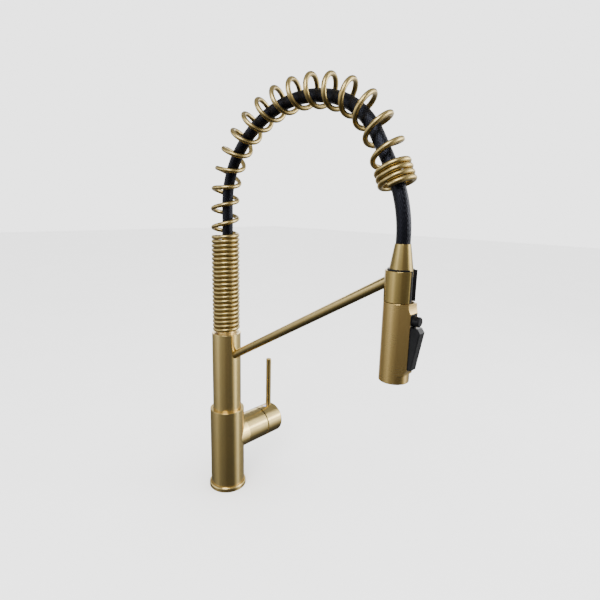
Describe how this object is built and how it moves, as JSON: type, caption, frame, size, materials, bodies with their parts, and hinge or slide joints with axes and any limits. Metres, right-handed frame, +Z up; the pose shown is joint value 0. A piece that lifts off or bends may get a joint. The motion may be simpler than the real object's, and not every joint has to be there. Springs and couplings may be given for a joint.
{
  "type": "pull-down kitchen faucet",
  "caption": "Deck-mounted single-lever kitchen mixer tap with a swivelling column, an open spring arch over a braided hose, and a pull-down spray head docked in an arm.",
  "frame": {"origin": "centre of the base, on the deck plane, under the column's axis", "axes": "+Z up along the column, -Y along the arm towards the spray head, +X along the lever branch"},
  "size_m": [0.1204, 0.3256, 0.5567],
  "materials": {
    "satin_brass": "satin, fine turned brush lines",
    "polished_brass": "semi-bright",
    "raw_brass": "machined",
    "steel": "machined",
    "black_plastic": "satin",
    "black_braid": "braided nylon",
    "rubber": "matte",
    "ceramic": "lapped",
    "white_plastic": "moulded",
    "indicator": "gloss",
    "grey_nozzle": "matte"
  },
  "bodies": {
    "base": {"base_flange": "satin_brass", "deck_seal": "rubber", "body_shell": "satin_brass", "waterway_core": "raw_brass", "cartridge_seat": "raw_brass", "cartridge_seals": "rubber", "cartridge_body": "white_plastic", "fixed_disc": "ceramic", "clamp_nut": "raw_brass", "swivel_bush": "white_plastic", "thrust_washer": "white_plastic", "swivel_set_screw": "steel"},
    "column": {"riser_tube": "satin_brass", "hose_guide": "white_plastic", "spring_holder": "raw_brass", "arm_rod": "satin_brass", "arm_screw": "steel", "holder_ring": "polished_brass", "holder_liner": "black_plastic", "closed_coil": "satin_brass", "arch_coil": "satin_brass", "hose_arch": "black_braid"},
    "turner": {"moving_disc": "ceramic", "cartridge_rotor": "white_plastic", "rotor_pin": "steel"},
    "lever": {"cartridge_stem": "steel", "handle_cap": "satin_brass", "lever_pin": "satin_brass", "grub_screw": "steel", "indicator_plug": "indicator"},
    "hose_end": {"hose_tail": "black_braid", "cone_nut": "polished_brass", "hose_ferrule": "steel", "hose_nipple": "raw_brass", "nipple_seals": "rubber"},
    "spray_head": {"spray_shell": "polished_brass", "neck_sleeve": "black_plastic", "check_valve": "white_plastic", "control_bezel": "black_plastic", "spray_core": "white_plastic", "nozzle_plate": "grey_nozzle", "aerator": "grey_nozzle", "button_spring": "steel", "lever_hinge_pin": "steel"},
    "button": {"spray_button": "black_plastic"},
    "mode_paddle": {"mode_lever": "black_plastic"}
  },
  "joints": [
    {"name": "column_swivel", "type": "hinge", "parent": "base", "child": "column", "pos_m": [0, 0, 0.118], "axis": [0, 0, 1], "continuous": true},
    {"name": "temperature_turn", "type": "hinge", "parent": "base", "child": "turner", "pos_m": [0.046, 0, 0.077], "axis": [1, 0, 0], "range_deg": [-45, 45]},
    {"name": "flow_tilt", "type": "hinge", "parent": "turner", "child": "lever", "pos_m": [0.046, 0, 0.077], "axis": [0, 1, 0], "range_deg": [0, 22]},
    {"name": "head_pull", "type": "slide", "parent": "column", "child": "hose_end", "axis": [0, 0, -1], "range_m": [0, 0.15], "deforming": ["hose_tail"]},
    {"name": "head_spin", "type": "hinge", "parent": "hose_end", "child": "spray_head", "pos_m": [0, -0.271, 0.34], "axis": [0, 0, 1], "continuous": true},
    {"name": "button_press", "type": "slide", "parent": "spray_head", "child": "button", "axis": [0, 1, 0], "range_m": [0, 0.0025], "stiffness_N_per_m": 600, "springref_m": -0.002},
    {"name": "paddle_rock", "type": "hinge", "parent": "spray_head", "child": "mode_paddle", "pos_m": [0, -0.2862, 0.264], "axis": [-1, 0, 0], "range_deg": [0, 6]}
  ]
}
